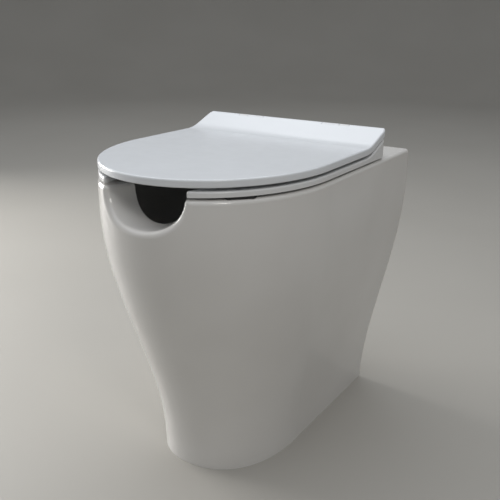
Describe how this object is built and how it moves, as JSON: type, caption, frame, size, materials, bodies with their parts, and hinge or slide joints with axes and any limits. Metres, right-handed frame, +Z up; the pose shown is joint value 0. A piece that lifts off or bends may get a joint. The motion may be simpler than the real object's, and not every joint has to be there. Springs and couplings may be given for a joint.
{
  "type": "toilet",
  "caption": "Floor-standing back-to-wall toilet pan in glazed ceramic with an open front, an open-front seat and a slim soft-close lid on concealed hinges.",
  "frame": {"origin": "middle of the bounding box in plan, on the floor", "axes": "+Z up, -Y towards the open front, +Y towards the wall, +X to the left of a person seated"},
  "size_m": [0.36, 0.539, 0.5365],
  "materials": {
    "glazed_ceramic": "gloss glaze",
    "lid_plastic": "gloss",
    "seat_plastic": "gloss",
    "buffer_rubber": "matt",
    "stop_rubber": "matt",
    "post_plastic": "gloss",
    "pin_steel": "ground",
    "sleeve_plastic": "matt",
    "damper_body": "matt",
    "gasket_rubber": "matt",
    "plate_steel": "brushed",
    "stud_steel": "zinc plated",
    "bush_rubber": "matt",
    "washer_plastic": "matt",
    "nut_plastic": "matt",
    "seal_rubber": "matt",
    "bracket_steel": "zinc plated",
    "bolt_steel": "zinc plated"
  },
  "bodies": {
    "pan": {"pan": "glazed_ceramic", "hinge_posts": "post_plastic", "hinge_pins": "pin_steel", "seat_damper": "damper_body", "lid_damper": "damper_body", "hinge_gaskets": "gasket_rubber", "hinge_plates": "plate_steel", "hinge_studs": "stud_steel", "deck_bushes": "bush_rubber", "stud_washers": "washer_plastic", "wing_nuts": "nut_plastic", "inlet_seal": "seal_rubber", "lug_sleeves": "sleeve_plastic", "floor_brackets": "bracket_steel", "bracket_bolts": "bolt_steel", "bracket_washers": "bolt_steel", "bracket_nuts": "bolt_steel"},
    "seat": {"seat": "seat_plastic", "seat_buffers": "buffer_rubber", "seat_sleeves": "sleeve_plastic"},
    "lid": {"lid": "lid_plastic", "lid_buffers": "stop_rubber", "lid_sleeves": "sleeve_plastic"}
  },
  "joints": [
    {"name": "seat_hinge", "type": "hinge", "parent": "pan", "child": "seat", "pos_m": [0, 0.158, 0.52849], "axis": [-1, 0, 0], "range_deg": [0, 101]},
    {"name": "lid_hinge", "type": "hinge", "parent": "seat", "child": "lid", "pos_m": [0, 0.158, 0.52849], "axis": [-1, 0, 0], "range_deg": [0, 97]}
  ]
}
